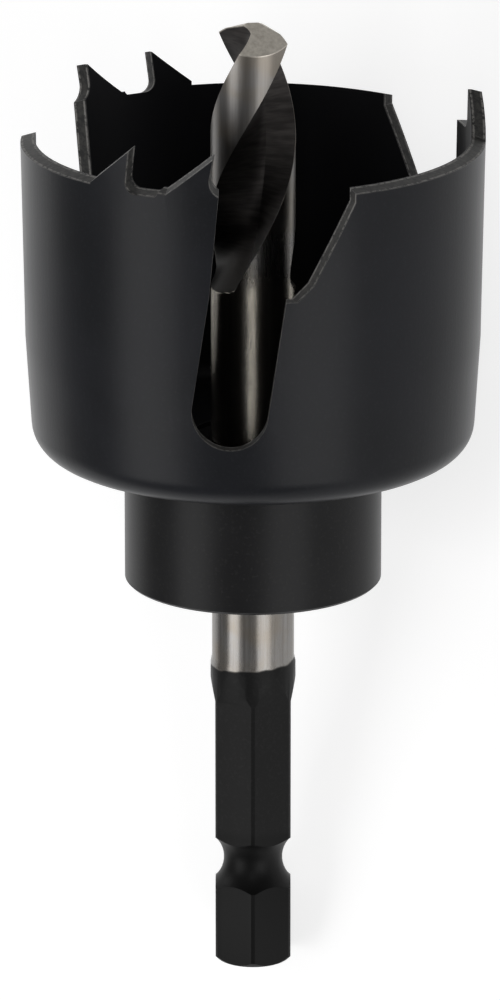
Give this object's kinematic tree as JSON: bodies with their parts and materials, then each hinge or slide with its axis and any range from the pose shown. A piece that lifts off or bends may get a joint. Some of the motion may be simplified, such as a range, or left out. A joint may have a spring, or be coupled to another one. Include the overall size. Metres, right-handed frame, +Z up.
{
  "type": "hole saw",
  "caption": "Toothed steel cup on a turned hub, with a twist drill at its centre and a hexagonal drive shank, lying on its side as it comes to rest.",
  "frame": {"origin": "centre of the hexagonal shank's end face, on the tool's axis", "axes": "+Z up from the surface that the tool lies on; the tool's axis runs in the Y-Z plane from the shank's end towards the drill's point, along +Y and climbing 17.86 degrees"},
  "size_m": [0.038, 0.0787, 0.0442],
  "materials": {
    "blackened_cup": "satin black oxide",
    "blackened_hub": "satin black oxide",
    "ground_drill": "ground bright steel with a blackened shank and dark flutes",
    "black_screw": "black oxide"
  },
  "bodies": {
    "root": {"saw_cup": "blackened_cup", "hub": "blackened_hub", "pilot_drill": "ground_drill", "grub_screw": "black_screw"}
  },
  "joints": []
}
